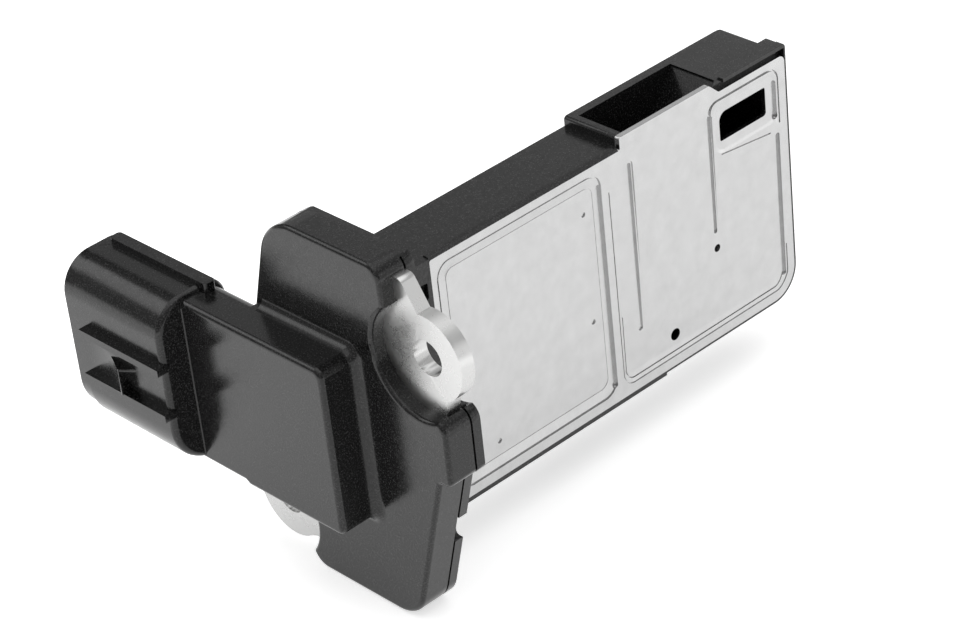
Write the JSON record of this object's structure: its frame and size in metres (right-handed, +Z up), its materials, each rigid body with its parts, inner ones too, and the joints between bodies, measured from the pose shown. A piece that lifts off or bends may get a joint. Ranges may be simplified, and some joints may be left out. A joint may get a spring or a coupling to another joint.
{
  "type": "mass airflow sensor",
  "caption": "Plug-in mass airflow sensor: black flange with metal screw ears, side connector, and a flat probe with an internal air passage closed by an aluminium plate.",
  "frame": {"origin": "centre of the probe's neck, in the plane of the flange's rear mounting face", "axes": "+X along the probe towards its tip, the way it goes into the duct; +Z up, along the probe's width towards the air inlet; the metal base plate faces -Y and the connector opens towards +Y"},
  "size_m": [0.0885, 0.0611, 0.051],
  "materials": {
    "housing": "black glass-filled moulding, semi-gloss with a fine grain",
    "mounting_plate": "bright stamped steel",
    "base_plate": "bright stamped aluminium, slightly rolled grain",
    "plate_sealant": "dark cured silicone",
    "rear_cover": "black moulding, semi-gloss",
    "cover_sealant": "dark cured silicone",
    "circuit_board": "pale alumina",
    "board_bond": "grey thermal adhesive",
    "control_chip": "black moulded package",
    "sensing_chip": "dark polished silicon",
    "chip_capacitors": "tan ceramic blocks",
    "chip_resistors": "black coated ceramic",
    "bond_wires": "drawn wire",
    "terminals": "tin-plated brass",
    "thermistor": "glass-coated bead",
    "thermistor_leads": "plated wire",
    "silicone_gel": "clear soft gel"
  },
  "bodies": {
    "root": {"housing": "housing", "mounting_plate": "mounting_plate", "base_plate": "base_plate", "plate_sealant": "plate_sealant", "rear_cover": "rear_cover", "cover_sealant": "cover_sealant", "circuit_board": "circuit_board", "board_bond": "board_bond", "control_chip": "control_chip", "sensing_chip": "sensing_chip", "chip_capacitors": "chip_capacitors", "chip_resistors": "chip_resistors", "bond_wires": "bond_wires", "thermistor": "thermistor", "thermistor_leads": "thermistor_leads", "silicone_gel": "silicone_gel", "terminal_1": "terminals", "terminal_2": "terminals", "terminal_3": "terminals", "terminal_4": "terminals", "terminal_5": "terminals"}
  },
  "joints": []
}
